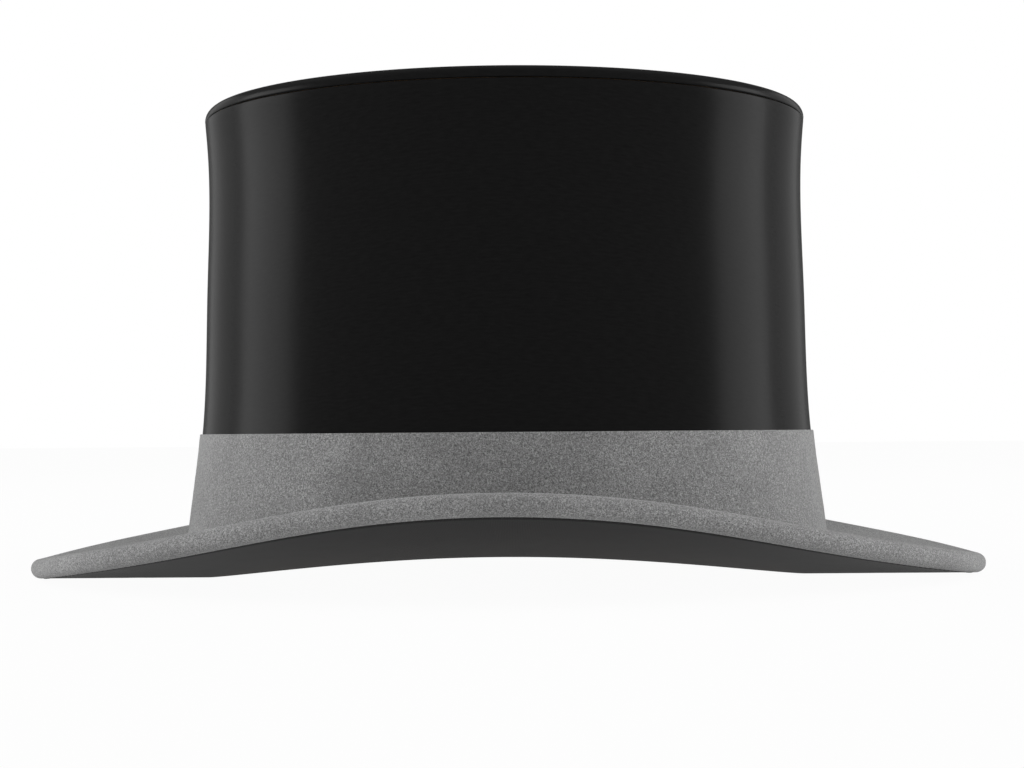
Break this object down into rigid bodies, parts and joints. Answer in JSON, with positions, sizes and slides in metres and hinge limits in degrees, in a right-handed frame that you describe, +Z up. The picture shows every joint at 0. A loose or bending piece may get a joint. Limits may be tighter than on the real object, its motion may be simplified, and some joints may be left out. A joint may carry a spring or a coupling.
{
  "type": "top hat",
  "caption": "Top hat with a tall waisted oval crown in black silk plush, a grey felt band, and an arched grey felt brim with a thick round edge.",
  "frame": {"origin": "middle of the level plane that the hat stands on, where the front and the back of the brim touch it", "axes": "+X towards the wearer's front, +Y towards the wearer's left, +Z up through the crown"},
  "size_m": [0.3184, 0.2404, 0.1549],
  "materials": {
    "crown_plush": "black silk plush, brushed flat and glossy",
    "grey_felt": "mid-grey wool felt, matt and slightly mottled",
    "under_silk": "black silk, fine weave, low sheen",
    "shellac_cloth": "brown shellacked cotton cloth, hard",
    "satin_lining": "cream satin",
    "cotton_wadding": "white cotton wadding",
    "cotton_cord": "twisted cotton cord",
    "steel_wire": "plain steel wire",
    "brass": "plain brass tube",
    "band_leather": "tan glazed leather",
    "reed": "smooth cane reed",
    "grosgrain": "black ribbed ribbon",
    "paper": "blank cream paper"
  },
  "bodies": {
    "root": {"tip_cover": "crown_plush", "side_cover": "crown_plush", "side_crown_shell": "shellac_cloth", "tip_shell": "shellac_cloth", "tip_wadding": "cotton_wadding", "tip_lining": "satin_lining", "side_lining": "satin_lining", "tip_lining_cord": "cotton_cord", "brim_join_strip": "shellac_cloth", "hat_band": "grey_felt", "brim_board": "shellac_cloth", "edge_cord": "cotton_cord", "brim_wire": "steel_wire", "wire_joiner": "brass", "brim_under_cover": "under_silk", "brim_top_cover": "grey_felt", "sweatband": "band_leather", "sweatband_reed": "reed", "reed_tape": "grosgrain", "sweatband_seam_tab": "band_leather", "sweatband_bow": "grosgrain", "size_ticket": "paper"}
  },
  "joints": []
}
